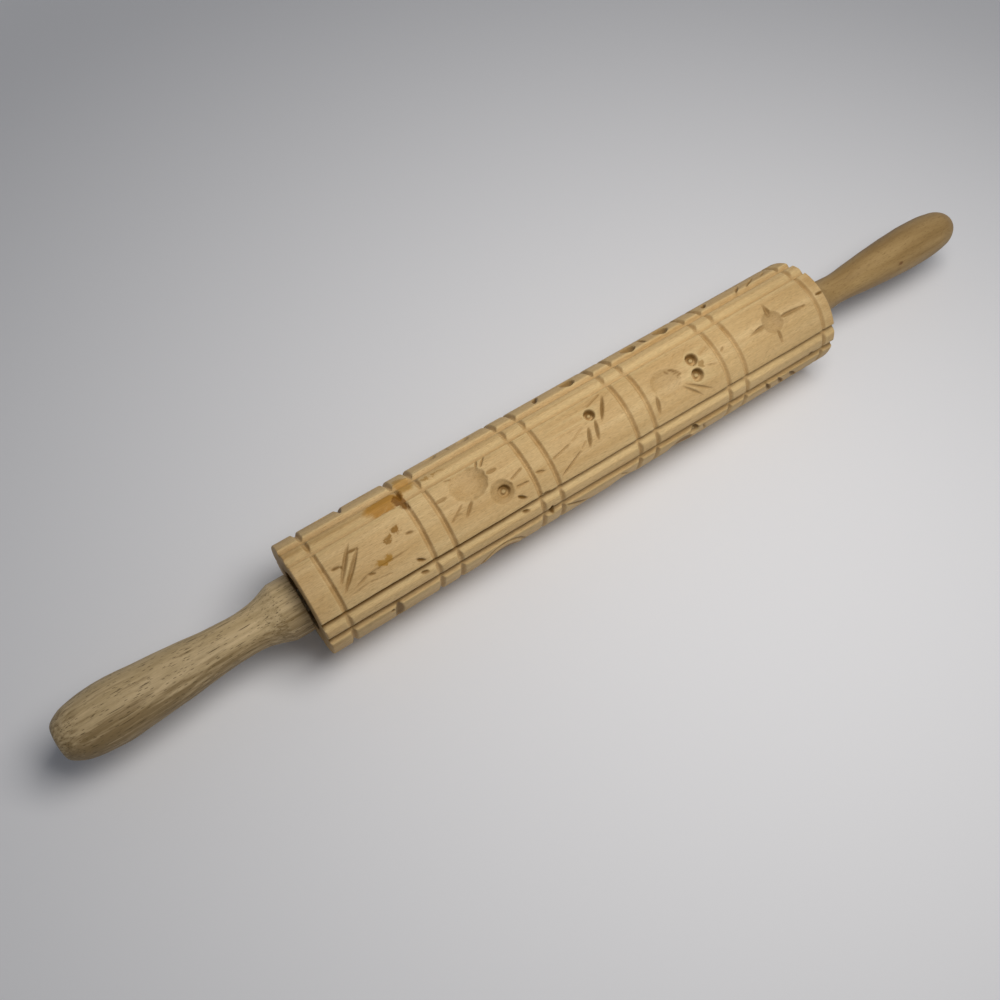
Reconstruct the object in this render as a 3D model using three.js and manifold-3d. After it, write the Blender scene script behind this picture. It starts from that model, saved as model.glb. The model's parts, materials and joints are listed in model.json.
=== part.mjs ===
// An embossed rolling pin, in millimetres with +Z up.
// A carved beech roller turns on a wooden rod, and the rod is glued into two turned handles.
// +X runs along the roller from its near end to its far end.
// The origin lies on the table, under the middle of the roller.
// An angle round the roller is 0 at the top and grows towards -Y.
import * as THREE from "three";
import { mergeVertices } from "three/addons/utils/BufferGeometryUtils.js";
import Module from "manifold-3d";

const wasm = await Module();
wasm.setup();

// Roller: its blank
const rollerLength = 255;
const rollerRadius = 24;
const rimChamfer = 0.7;
const rodBoreRadius = 8;
const counterboreRadius = 12.75;
const counterboreDepth = 14;

// Roller: the frame of grooves that parts the pictures
const sectorCount = 4;
const facetsPerPanel = 8;
const railWidth = 3.4;
const railGrooveWidth = 4.4;
const railGrooveDepth = 2.1;
// how far across its width a rail's groove is deepest, from the panel's edge
const railFloorShare = 0.28;
const ringCount = 5;
const ringGrooveWidth = 2.4;
const ringGrooveDepth = 1.6;
const nearBand = 9.7;
const farBand = 6.2;
const ringSpacing = 9.3;
const lastPanelLength = 44.3;

// Roller: the cuts of the pictures
const cutSlopeShare = 0.55;
const dishDepthShare = 0.26;
// a dish's bowl: how far out, and how deep there
const bowlShares = [[0, 1], [0.45, 0.82], [0.78, 0.44], [1, 0]];
const drillDepth = 2.4;
const pipRadiusShare = 0.35;
const pipHeightShare = 0.5;
const cutOverrun = 0.6;
const dishSides = 12;
const drillSides = 10;

// Rod and bushes
const rodRadius = 4.8;
const rodChamfer = 0.8;
const runningGap = 0.3;
const seatGap = 0.3;
const bushRecess = 2;
const bushChamfer = 0.7;
const roundSides = 32;

// Handles
const handleLength = 96;
const handleGap = 2;
const glueGap = 0.3;
const rodBite = 36;
const collarLength = 7.7;
const collarChamfer = 0.6;
const gripSteps = 22;
const handleSides = 32;

const nearHandle = {
  collarRadius: 11.8,
  neckRadius: 8.5,
  swellRadius: 12.5,
  endRadius: 7,
  // place along the handle, and rise from the neck's radius to the swell's
  gripShares: [
    [0.095, 0.57], [0.114, 0.35], [0.146, 0.15], [0.184, 0.04], [0.25, 0],
    [0.378, 0.175], [0.51, 0.51], [0.653, 0.81], [0.771, 1],
  ],
  // place along the handle, and rise from the end face's radius to the swell's
  tailShares: [[0.854, 0.93], [0.896, 0.84], [0.938, 0.68], [0.967, 0.44], [0.99, 0.22], [1, 0]],
};

const farHandle = {
  collarRadius: 9.9,
  neckRadius: 7.05,
  swellRadius: 10.2,
  endRadius: 3,
  gripShares: [
    [0.095, 0.57], [0.114, 0.35], [0.146, 0.15], [0.184, 0.04], [0.25, 0],
    [0.364, 0.33], [0.5, 0.65], [0.633, 0.92], [0.729, 1],
  ],
  tailShares: [[0.844, 0.94], [0.909, 0.83], [0.94, 0.73], [0.969, 0.54], [0.99, 0.3], [1, 0]],
};

// Derived places round the roller
const sectorAngle = (2 * Math.PI) / sectorCount;
const railAngle = railWidth / rollerRadius;
const railGrooveAngle = railGrooveWidth / rollerRadius;
const panelAngle = sectorAngle - railAngle - 2 * railGrooveAngle;
const facetAngle = panelAngle / facetsPerPanel;
const panelWidth = panelAngle * rollerRadius;
// The lowest panel rests on its first facet, which lies flat on the table.
const firstPanelAngle = (panelAngle - facetAngle) / 2;
const axisHeight = rollerRadius * Math.cos(facetAngle / 2);

// Derived places along the roller
const panelsTotal = rollerLength - nearBand - farBand - (ringCount - 1) * ringSpacing;
const panelLength = (panelsTotal - lastPanelLength) / (ringCount - 1);
const panels = [];
for (let ring = 0; ring < ringCount; ring += 1) {
  const from = nearBand + ring * (panelLength + ringSpacing);
  const length = ring === ringCount - 1 ? lastPanelLength : panelLength;
  panels.push({ from, length });
}

// The pictures. Places are shares of the panel: u along it from its near end, and v across it
// from its upper edge. A cut runs from one place to another and has a width, a dish has two half
// axes and a drilled eye has a radius, all as shares of the panel's width.
const cut = (u0, v0, u1, v1, width) => ({ kind: "cut", u0, v0, u1, v1, width });
const dish = (u, v, along, across) => ({ kind: "dish", u, v, along, across });
const drill = (u, v, radius) => ({ kind: "drill", u, v, radius });

const sprayShares = [
  cut(0.09, 0.6, 0.35, 0.09, 0.1),
  cut(0.07, 0.74, 0.39, 0.23, 0.1),
  cut(0.07, 0.34, 0.17, 0.37, 0.045),
  cut(0.34, 0.65, 0.79, 0.64, 0.035),
  cut(0.85, 0.44, 0.93, 0.46, 0.04),
  cut(0.83, 0.84, 0.9, 0.92, 0.05),
];
const birdShares = [
  dish(0.42, 0.26, 0.32, 0.25),
  dish(0.66, 0.6, 0.2, 0.2),
  drill(0.69, 0.62, 0.09),
  cut(0.8, 0.52, 0.95, 0.44, 0.05),
  cut(0.79, 0.65, 0.95, 0.68, 0.05),
  cut(0.01, 0.27, 0.15, 0.28, 0.05),
  cut(0.21, 0.7, 0.37, 0.47, 0.08),
  cut(0.05, 0.65, 0.27, 0.42, 0.035),
  cut(0.6, 0.13, 0.7, -0.04, 0.045),
  cut(0.79, 0.8, 0.86, 0.89, 0.05),
];
const berryShares = [
  drill(0.64, 0.25, 0.094),
  cut(0.66, 0.16, 0.88, 0.01, 0.035),
  cut(0.71, 0.47, 0.89, 0.06, 0.05),
  cut(0.58, 0.71, 0.64, 0.36, 0.07),
  cut(0.47, 0.74, 0.55, 0.4, 0.08),
  cut(0.01, 0.59, 0.35, 0.47, 0.035),
  cut(0.06, 0.89, 0.45, 0.57, 0.035),
];
const owlShares = [
  dish(0.32, 0.49, 0.29, 0.2),
  drill(0.7, 0.31, 0.118),
  drill(0.7, 0.56, 0.114),
  cut(0.09, 0.83, 0.15, 0.53, 0.08),
  cut(0.45, 0.62, 0.66, 0.95, 0.045),
  cut(0.5, 0.61, 0.8, 0.94, 0.045),
  cut(0.8, 0.33, 0.94, 0.26, 0.035),
  cut(0.8, 0.52, 0.94, 0.62, 0.04),
  cut(0.51, 0.16, 0.74, 0, 0.035),
];
const budShares = [
  cut(0.48, -0.03, 0.52, 0.36, 0.12),
  dish(0.5, 0.44, 0.2, 0.19),
  dish(0.6, 0.47, 0.08, 0.16),
  cut(0.5, 0.64, 0.49, 0.87, 0.06),
  cut(0.6, 0.47, 0.91, 0.5, 0.09),
  cut(0.4, 0.47, 0.12, 0.47, 0.08),
];
const fernShares = [
  cut(0.46, 0.9, 0.51, 0.31, 0.13),
  cut(0.2, 0.75, 0.42, 0.55, 0.09),
  cut(0.78, 0.75, 0.56, 0.55, 0.09),
  cut(0.22, 0.36, 0.44, 0.2, 0.08),
  cut(0.76, 0.36, 0.56, 0.2, 0.08),
];
const flowerShares = [
  drill(0.5, 0.46, 0.09),
  dish(0.7, 0.74, 0.11, 0.13),
  dish(0.3, 0.74, 0.11, 0.13),
  dish(0.7, 0.2, 0.11, 0.13),
  dish(0.3, 0.2, 0.11, 0.13),
];
const acornShares = [
  cut(0.66, 1.02, 0.81, 0.74, 0.16),
  cut(0.3, 0.95, 0.42, 0.66, 0.08),
  dish(0.5, 0.4, 0.24, 0.17),
  cut(0.12, 0.3, 0.24, 0.42, 0.06),
  cut(0.84, 0.5, 0.94, 0.2, 0.07),
];
const tulipShares = [
  cut(0.23, 1.02, 0.39, 0.74, 0.17),
  cut(0.51, 0.98, 0.51, 0.7, 0.1),
  cut(0.66, 1.02, 0.84, 0.74, 0.17),
  dish(0.5, 0.36, 0.2, 0.2),
  cut(0.12, 0.2, 0.24, 0.45, 0.07),
  cut(0.88, 0.2, 0.76, 0.45, 0.07),
];
const sheafShares = [
  cut(0.1, 0.9, 0.15, 0.72, 0.08),
  cut(0.46, 1.02, 0.53, 0.86, 0.06),
  cut(0.59, 1.04, 0.8, 0.82, 0.05),
  cut(0.5, 0.7, 0.5, 0.2, 0.08),
  cut(0.3, 0.6, 0.42, 0.2, 0.07),
  cut(0.7, 0.6, 0.58, 0.2, 0.07),
];
const twigShares = [
  cut(0.5, -0.14, 0.56, 0.5, 0.17),
  dish(0.2, 0.44, 0.2, 0.2),
  cut(0.62, 0.36, 0.84, 0.56, 0.09),
  drill(0.28, 0.8, 0.08),
  cut(0.5, 0.86, 0.78, 0.8, 0.06),
];
const moonShares = [
  dish(0.57, 0.33, 0.43, 0.32),
  cut(0.14, 0.62, 0.3, 0.82, 0.07),
  cut(0.86, 0.68, 0.7, 0.86, 0.07),
  drill(0.5, 0.78, 0.08),
];
const reedShares = [
  cut(0.02, 0.01, 0.38, 0.31, 0.045),
  dish(0.8, 0.36, 0.36, 0.3),
  cut(0.3, 0.3, 0.5, 0.75, 0.08),
  cut(0.2, 0.5, 0.3, 0.9, 0.06),
];
const wingShares = [
  dish(0.32, 0.42, 0.28, 0.28),
  cut(0.42, -0.02, 0.5, 0.3, 0.07),
  cut(0.52, 0.02, 0.62, 0.32, 0.06),
  drill(0.78, 0.56, 0.1),
  cut(0.5, 0.76, 0.86, 0.84, 0.06),
];
const rayShares = [
  cut(0.26, 0.02, 0.37, 0.5, 0.08),
  cut(0.42, 0.05, 0.55, 0.5, 0.08),
  cut(0.57, 0.07, 0.8, 0.5, 0.08),
  cut(0.8, -0.1, 0.87, 0.12, 0.06),
  dish(0.42, 0.72, 0.26, 0.17),
];
const sectorPictures = [
  [sprayShares, birdShares, berryShares, owlShares, budShares],
  [twigShares, moonShares, reedShares, wingShares, rayShares],
  [flowerShares, sprayShares, tulipShares, fernShares, acornShares],
  [fernShares, flowerShares, acornShares, tulipShares, sheafShares],
];

// A closed body turned round the X axis, from a profile of [radius, place along X] points.
function turned(profile, sides) {
  const points = profile.map(([radius, place]) => new THREE.Vector2(radius, place));
  return new THREE.LatheGeometry(points, sides).rotateZ(-Math.PI / 2);
}

// One manifold solid from a closed geometry.
function toSolid(geometry) {
  const bare = geometry.clone();
  bare.deleteAttribute("normal");
  bare.deleteAttribute("uv");
  const merged = mergeVertices(bare);
  const triVerts = [];
  for (let i = 0; i < merged.index.count; i += 3) {
    const corners = [merged.index.getX(i), merged.index.getX(i + 1), merged.index.getX(i + 2)];
    if (new Set(corners).size === corners.length) triVerts.push(...corners);
  }
  return new wasm.Manifold(new wasm.Mesh({
    numProp: 3,
    vertProperties: new Float32Array(merged.attributes.position.array),
    triVerts: new Uint32Array(triVerts),
  }));
}

// One geometry from a manifold solid.
function toGeometry(solid) {
  const mesh = solid.getMesh();
  const geometry = new THREE.BufferGeometry();
  geometry.setAttribute("position", new THREE.BufferAttribute(mesh.vertProperties, mesh.numProp));
  geometry.setIndex(new THREE.BufferAttribute(mesh.triVerts, 1));
  geometry.computeVertexNormals();
  return geometry;
}

// Angle and radius of each corner of the roller's section: the panels' facets, and the rails
// with a V groove on each side, which is steeper towards the panel.
function sectionCorners() {
  const corners = [];
  for (let sector = 0; sector < sectorCount; sector += 1) {
    const panelStart = sector * sectorAngle + firstPanelAngle - panelAngle / 2;
    const railStart = panelStart + panelAngle + railGrooveAngle;
    for (let facet = 0; facet <= facetsPerPanel; facet += 1) {
      corners.push({ angle: panelStart + facet * facetAngle, radius: rollerRadius });
    }
    corners.push({
      angle: panelStart + panelAngle + railFloorShare * railGrooveAngle,
      radius: rollerRadius - railGrooveDepth,
    });
    corners.push({ angle: railStart, radius: rollerRadius });
    corners.push({ angle: railStart + railAngle, radius: rollerRadius });
    corners.push({
      angle: panelStart + sectorAngle - railFloorShare * railGrooveAngle,
      radius: rollerRadius - railGrooveDepth,
    });
  }
  return corners;
}

// The roller's profile from rim to rim, with a V at each ring groove, and back through the bores.
function rollerProfile() {
  const grooves = panels.flatMap(({ from, length }) => [from, from + length]);
  const profile = [
    [counterboreRadius, 0],
    [rollerRadius - rimChamfer, 0],
    [rollerRadius, rimChamfer],
  ];
  for (const place of grooves) {
    profile.push([rollerRadius, place - ringGrooveWidth / 2]);
    profile.push([rollerRadius - ringGrooveDepth, place]);
    profile.push([rollerRadius, place + ringGrooveWidth / 2]);
  }
  profile.push(
    [rollerRadius, rollerLength - rimChamfer],
    [rollerRadius - rimChamfer, rollerLength],
    [counterboreRadius, rollerLength],
    [counterboreRadius, rollerLength - counterboreDepth],
    [rodBoreRadius, rollerLength - counterboreDepth],
    [rodBoreRadius, counterboreDepth],
    [counterboreRadius, counterboreDepth],
    [counterboreRadius, 0],
  );
  return profile;
}

// The grooved blank: a lathe body whose sides are moved to the section's corners.
function groovedBlank() {
  const profile = rollerProfile();
  const corners = sectionCorners();
  const points = profile.map(([radius, place]) => new THREE.Vector2(radius, place));
  const geometry = new THREE.LatheGeometry(points, corners.length);
  const position = geometry.attributes.position;
  for (let i = 0; i < position.count; i += 1) {
    const corner = corners[Math.floor(i / profile.length) % corners.length];
    const [radius, place] = profile[i % profile.length];
    const kept = Math.min(radius, corner.radius);
    position.setXYZ(i, kept * Math.sin(corner.angle), place, kept * Math.cos(corner.angle));
  }
  return geometry.rotateZ(-Math.PI / 2);
}

// A flat cutter bent round the roller: its height 0 lies on the roller's surface.
function wrapped(geometry) {
  const position = geometry.attributes.position;
  for (let i = 0; i < position.count; i += 1) {
    const angle = position.getY(i) / rollerRadius;
    const radius = rollerRadius + position.getZ(i);
    position.setXYZ(i, position.getX(i), radius * Math.sin(angle), radius * Math.cos(angle));
  }
  return geometry;
}

// A cutter from its profile of [share of the half axes, height], with its half axes, turn and place.
function cutter({ profile, sides, along, across, turn, x, y }) {
  const points = profile.map(([share, height]) => new THREE.Vector2(share, height));
  const geometry = new THREE.LatheGeometry(points, sides).rotateX(Math.PI / 2);
  geometry.scale(along, across, 1).rotateZ(turn).translate(x, y, 0);
  return toSolid(wrapped(geometry));
}

// A knife cut or leaf: a V that runs out at both ends.
function cutProfile(depth) {
  return [[0, -depth], [1, 0], [1 + cutOverrun / depth, cutOverrun], [0, cutOverrun]];
}

// A dish: a shallow bowl.
function dishProfile(depth) {
  const bowl = bowlShares.map(([out, deep]) => [out, -deep * depth]);
  const rim = 1 + cutOverrun / (2 * depth);
  return [...bowl, [rim, cutOverrun], [0, cutOverrun]];
}

// A drilled eye: a straight wall and a flat floor round a pointed pip.
function drillProfile(depth) {
  const pipTop = (pipHeightShare - 1) * depth;
  return [[0, pipTop], [pipRadiusShare, -depth], [1, -depth], [1, cutOverrun], [0, cutOverrun]];
}

// The cutter of one cut, dish or drilled eye on the panel that starts at a place and angle.
function motifCutter(motif, panel, panelStartAngle) {
  const placeX = (u) => panel.from + u * panel.length;
  const placeY = (v) => -rollerRadius * (panelStartAngle + v * panelAngle);
  if (motif.kind === "cut") {
    const dx = placeX(motif.u1) - placeX(motif.u0);
    const dy = placeY(motif.v1) - placeY(motif.v0);
    const width = motif.width * panelWidth;
    return cutter({
      profile: cutProfile(width * cutSlopeShare),
      sides: 4,
      along: Math.hypot(dx, dy) / 2,
      across: width / 2,
      turn: Math.atan2(dy, dx),
      x: placeX(motif.u0) + dx / 2,
      y: placeY(motif.v0) + dy / 2,
    });
  }
  const isDish = motif.kind === "dish";
  const along = (isDish ? motif.along : motif.radius) * panelWidth;
  const across = (isDish ? motif.across : motif.radius) * panelWidth;
  return cutter({
    profile: isDish ? dishProfile(across * dishDepthShare) : drillProfile(drillDepth),
    sides: isDish ? dishSides : drillSides,
    along,
    across,
    turn: 0,
    x: placeX(motif.u),
    y: placeY(motif.v),
  });
}

// The roller with its pictures cut into the grooved blank.
function rollerGeometry() {
  const cutters = [];
  sectorPictures.forEach((pictures, sector) => {
    const panelStartAngle = sector * sectorAngle + firstPanelAngle - panelAngle / 2;
    pictures.forEach((motifs, ring) => {
      for (const motif of motifs) cutters.push(motifCutter(motif, panels[ring], panelStartAngle));
    });
  });
  const cuts = cutters.reduce((all, next) => all.add(next));
  return toGeometry(toSolid(groovedBlank()).subtract(cuts));
}

// A plain bush with chamfered edges, bored for the rod.
function bushGeometry() {
  const inner = rodRadius + runningGap;
  const outer = counterboreRadius - seatGap;
  const length = counterboreDepth - seatGap - bushRecess;
  return turned([
    [inner, 0],
    [outer - bushChamfer, 0],
    [outer, bushChamfer],
    [outer, length - bushChamfer],
    [outer - bushChamfer, length],
    [inner, length],
    [inner, 0],
  ], roundSides);
}

// The rod, with chamfered ends, from one handle's blind bore to the other's.
function rodGeometry(length) {
  return turned([
    [0, 0],
    [rodRadius - rodChamfer, 0],
    [rodRadius, rodChamfer],
    [rodRadius, length - rodChamfer],
    [rodRadius - rodChamfer, length],
    [0, length],
  ], roundSides);
}

// A handle that grows along +X from its collar's face: blind bore, collar, neck, swell and end face.
function handleGeometry(shape) {
  const { collarRadius, neckRadius, swellRadius, endRadius } = shape;
  const boreRadius = rodRadius + glueGap;
  const boreDepth = rodBite + glueGap;
  const grip = shape.gripShares.map(([place, rise]) => (
    new THREE.Vector2(neckRadius + rise * (swellRadius - neckRadius), place * handleLength)));
  const tail = shape.tailShares.map(([place, rise]) => (
    new THREE.Vector2(endRadius + rise * (swellRadius - endRadius), place * handleLength)));
  const shoulder = new THREE.Vector2(collarRadius - collarChamfer, collarLength);
  const curve = new THREE.SplineCurve([shoulder, ...grip, ...tail]);
  return turned([
    [0, boreDepth],
    [boreRadius, boreDepth],
    [boreRadius, 0],
    [collarRadius - collarChamfer, 0],
    [collarRadius, collarChamfer],
    [collarRadius, collarLength - collarChamfer],
    ...curve.getPoints(gripSteps).map((point) => [point.x, point.y]),
    [0, handleLength],
  ], handleSides);
}

function namedMesh(name, geometry, material) {
  const mesh = new THREE.Mesh(geometry, new THREE.MeshStandardMaterial(material));
  mesh.name = name;
  return mesh;
}

const beech = { color: "#d3b88d", roughness: 0.5, metalness: 0 };
const rubberwood = { color: "#a98d66", roughness: 0.55, metalness: 0 };
const darkBeech = { color: "#ab8450", roughness: 0.5, metalness: 0 };
const dowelWood = { color: "#cdb389", roughness: 0.6, metalness: 0 };
const nylon = { color: "#2f2c2a", roughness: 0.45, metalness: 0 };

// Everything lies on the roller's axis, with x = 0 at its middle.
const rollingPin = new THREE.Group();
rollingPin.position.z = axisHeight;

const roller = namedMesh("roller", rollerGeometry(), beech);
roller.position.x = -rollerLength / 2;

const bushSeat = rollerLength / 2 - counterboreDepth + seatGap;
const bushNear = namedMesh("bush_near", bushGeometry(), nylon);
bushNear.position.x = -bushSeat;
bushNear.rotation.y = Math.PI;
const bushFar = namedMesh("bush_far", bushGeometry(), nylon);
bushFar.position.x = bushSeat;

const collarPlace = rollerLength / 2 + handleGap;
const rodLength = 2 * (collarPlace + rodBite);
const axleRod = namedMesh("axle_rod", rodGeometry(rodLength), dowelWood);
axleRod.position.x = -rodLength / 2;

const handleNear = namedMesh("handle_near", handleGeometry(nearHandle), rubberwood);
handleNear.position.x = -collarPlace;
handleNear.rotation.y = Math.PI;
const handleFar = namedMesh("handle_far", handleGeometry(farHandle), darkBeech);
handleFar.position.x = collarPlace;

rollingPin.add(roller, bushNear, bushFar, axleRod, handleNear, handleFar);

export default rollingPin;
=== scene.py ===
# %% [markdown]
# # An embossed rolling pin
# A springerle pin presses pictures into biscuit dough. Its roller is one beech cylinder with
# pictures cut into it, and it turns on a wooden rod that is glued into two handles.
# The CAD frame holds the real sizes. This lesson dresses it: it carves the roller finely,
# turns the handles smoothly and gives each wood its own grain, pores and stains.

# %% Load the frame
import json
import math

import bpy
import numpy as np
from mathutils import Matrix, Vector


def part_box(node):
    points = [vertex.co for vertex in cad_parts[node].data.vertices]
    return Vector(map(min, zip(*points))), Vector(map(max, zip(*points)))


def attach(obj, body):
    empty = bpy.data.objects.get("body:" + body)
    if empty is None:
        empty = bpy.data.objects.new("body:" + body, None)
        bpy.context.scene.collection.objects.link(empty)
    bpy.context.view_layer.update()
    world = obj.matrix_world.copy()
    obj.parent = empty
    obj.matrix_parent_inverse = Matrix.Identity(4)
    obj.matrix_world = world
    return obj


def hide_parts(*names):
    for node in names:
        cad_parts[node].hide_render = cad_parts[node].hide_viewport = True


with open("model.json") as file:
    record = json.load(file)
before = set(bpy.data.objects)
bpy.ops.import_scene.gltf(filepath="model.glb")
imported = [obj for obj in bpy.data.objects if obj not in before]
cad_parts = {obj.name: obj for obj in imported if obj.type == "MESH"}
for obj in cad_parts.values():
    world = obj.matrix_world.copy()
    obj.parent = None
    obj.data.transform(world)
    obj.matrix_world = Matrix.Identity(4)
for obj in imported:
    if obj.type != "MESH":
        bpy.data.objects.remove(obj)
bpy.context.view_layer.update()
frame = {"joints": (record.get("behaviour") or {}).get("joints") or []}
MM = 0.001

# %% [markdown]
# ## Sizes from the frame
# Every piece is turned round one axis, so the axis height and the boxes of the nodes give
# nearly all that is needed. Lengths below are in millimetres, because the maker of a pin
# thinks in them, and they become metres only when a mesh is made.

# %% Sizes from the frame
spin_joint = frame["joints"][0]
axis_height = spin_joint["pos_m"][2] / MM


def reach(node_name):
    """Lowest and highest place of a node along X, in millimetres."""
    low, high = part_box(node_name)
    return low.x / MM, high.x / MM


roller_start, roller_end = reach("roller")
roller_length = roller_end - roller_start
roller_radius = axis_height
near_tip, near_collar = reach("handle_near")
far_collar, far_tip = reach("handle_far")
print("roller", round(roller_length, 2), "mm long, axis at", round(axis_height, 2), "mm")

# %% [markdown]
# ## The camera
# The photo looks steeply down on the pin from the near handle's side. A 36 mm lens on a
# 36 mm sensor gives its perspective: the near handle looks a fifth larger than the far one.
# The place and the two angles came from matching the rims, the grooves and both handles.

# %% Camera
camera_place = (-154.6, -174.3, 375.5)
camera_down = 59.9
camera_turn = -34.34
camera_data = bpy.data.cameras.new("camera")
camera_data.sensor_width = 36
camera_data.lens = 36
camera = bpy.data.objects.new("camera", camera_data)
camera.location = [value * MM for value in camera_place]
camera.rotation_euler = (math.radians(90 - camera_down), 0, math.radians(camera_turn))
bpy.context.scene.collection.objects.link(camera)
bpy.context.scene.camera = camera
bpy.context.scene.view_settings.view_transform = "Standard"
print("camera at", camera_place, "mm")

# %% [markdown]
# ## Colours and nodes
# Colours are picked as sRGB hex values, the way a swatch is read, and Blender wants linear
# light. One function turns one into the other. One more function adds a node, sets it up and
# links it, so that a material reads as a list of layers.

# %% Colour and node helpers
smooth_step = {"interpolation_type": "SMOOTHSTEP"}
of_colours = {"data_type": "RGBA"}


def linear(hex_colour):
    """An sRGB hex colour as linear RGBA."""
    channels = [int(hex_colour[i:i + 2], 16) / 255 for i in (1, 3, 5)]
    light = [c / 12.92 if c <= 0.04045 else ((c + 0.055) / 1.055) ** 2.4 for c in channels]
    return (*light, 1)


def add(tree, kind, settings=None, inputs=None):
    """A new shader node with its settings, and its inputs set to values or linked to sockets."""
    new = tree.nodes.new("ShaderNode" + kind)
    for name, value in (settings or {}).items():
        setattr(new, name, value)
    for name, value in (inputs or {}).items():
        if isinstance(value, bpy.types.NodeSocket):
            tree.links.new(value, new.inputs[name])
        else:
            new.inputs[name].default_value = value
    return new


def new_material(name):
    """An empty material, with its tree, its surface shader and its object coordinates in mm."""
    material = bpy.data.materials.new(name)
    material.use_nodes = True
    tree = material.node_tree
    tree.nodes.clear()
    output = add(tree, "OutputMaterial")
    shader = add(tree, "BsdfPrincipled")
    tree.links.new(shader.outputs[0], output.inputs[0])
    place = add(tree, "TexCoord").outputs["Object"]
    in_mm = add(tree, "VectorMath", {"operation": "SCALE"}, {0: place, "Scale": 1 / MM})
    return material, tree, shader, in_mm.outputs[0]


# %% [markdown]
# ## Floor and light
# The pin lies on a pale cloth. A plain pale plane stands in for it. The light is one large
# soft lamp half a metre above the far half of the roller and a little in front of it, so that
# the table darkens to the left and the near end stays in shade. An even, cool world fills in.
# Seen from the side, the table runs out into a pale backdrop, which adds no light of its own.

# %% Floor
floor_mesh = bpy.data.meshes.new("floor")
floor_half = 3.0
floor_mesh.from_pydata(
    [(-floor_half, -floor_half, 0), (floor_half, -floor_half, 0),
     (floor_half, floor_half, 0), (-floor_half, floor_half, 0)],
    [], [(0, 1, 2, 3)])
floor = bpy.data.objects.new("floor", floor_mesh)
bpy.context.scene.collection.objects.link(floor)
floor_material, floor_tree, floor_shader, floor_mm = new_material("pale_table")
floor_shader.inputs["Base Color"].default_value = linear("#e4e6ec")
floor_shader.inputs["Roughness"].default_value = 0.9
floor_shader.inputs["Specular IOR Level"].default_value = 0.2
floor_mesh.materials.append(floor_material)
backdrop_colour, backdrop_strength = linear("#f0f1f4"), 0.68
run_out_start, run_out_end = 380.0, 900.0


def shown_rays(tree):
    """1 for the rays that show a backdrop: camera, glossy and transmission rays."""
    path = add(tree, "LightPath")
    total = path.outputs["Is Camera Ray"]
    for kind in ("Is Glossy Ray", "Is Transmission Ray"):
        total = add(tree, "Math", {"operation": "MAXIMUM"}, {0: total, 1: path.outputs[kind]}).outputs[0]
    return total


from_pin = add(floor_tree, "VectorMath", {"operation": "LENGTH"}, {0: floor_mm})
run_out = add(floor_tree, "MapRange", smooth_step,
              {"Value": from_pin.outputs["Value"], "From Min": run_out_start, "From Max": run_out_end})
faded = add(floor_tree, "Math", {"operation": "MULTIPLY"},
            {0: run_out.outputs[0], 1: shown_rays(floor_tree)})
glow = add(floor_tree, "Emission", None, {"Color": backdrop_colour, "Strength": backdrop_strength})
floor_mix = add(floor_tree, "MixShader", None,
                {0: faded.outputs[0], 1: floor_shader.outputs[0], 2: glow.outputs[0]})
floor_tree.links.new(floor_mix.outputs[0], floor_tree.nodes["Material Output"].inputs[0])

# %% Light
world = bpy.data.worlds.new("studio")
bpy.context.scene.world = world
world.use_nodes = True
sky = world.node_tree.nodes["Background"]
sky.inputs["Color"].default_value = linear("#eef2fa")
sky.inputs["Strength"].default_value = 0.16
backdrop = add(world.node_tree, "Background", None,
               {"Color": backdrop_colour, "Strength": backdrop_strength})
sky_mix = add(world.node_tree, "MixShader", None,
              {0: shown_rays(world.node_tree), 1: sky.outputs[0], 2: backdrop.outputs[0]})
world.node_tree.links.new(sky_mix.outputs[0], world.node_tree.nodes["World Output"].inputs[0])


def soft_lamp(name, place, size, watts, colour):
    """A square lamp at a place in metres, turned towards the middle of the pin."""
    data = bpy.data.lights.new(name, "AREA")
    data.shape = "SQUARE"
    data.size = size
    data.energy = watts
    data.color = linear(colour)[:3]
    lamp = bpy.data.objects.new(name, data)
    lamp.location = place
    towards = -lamp.location
    lamp.rotation_euler = towards.to_track_quat("-Z", "Y").to_euler()
    bpy.context.scene.collection.objects.link(lamp)


soft_lamp("key", (0.07, -0.1, 0.46), 0.3, 1.78, "#fffaf2")
print("floor and lamps set")

# %% [markdown]
# ## Turned pieces
# Handles, rod and bushes all come off a lathe, so one function turns a profile round the
# axis. A profile is a list of (radius, place) points. It ends on the axis, or it closes on
# itself where the piece has a bore. Many sides keep the outline round.

# %% Turning


def put_in_scene(mesh, name, body, material, node_name):
    """Links a finished mesh as a piece that rides on a body and stands for a CAD node."""
    piece = bpy.data.objects.new(name, mesh)
    bpy.context.scene.collection.objects.link(piece)
    mesh.materials.append(material)
    mesh.shade_smooth()
    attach(piece, body)
    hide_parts(node_name)
    return piece


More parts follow.
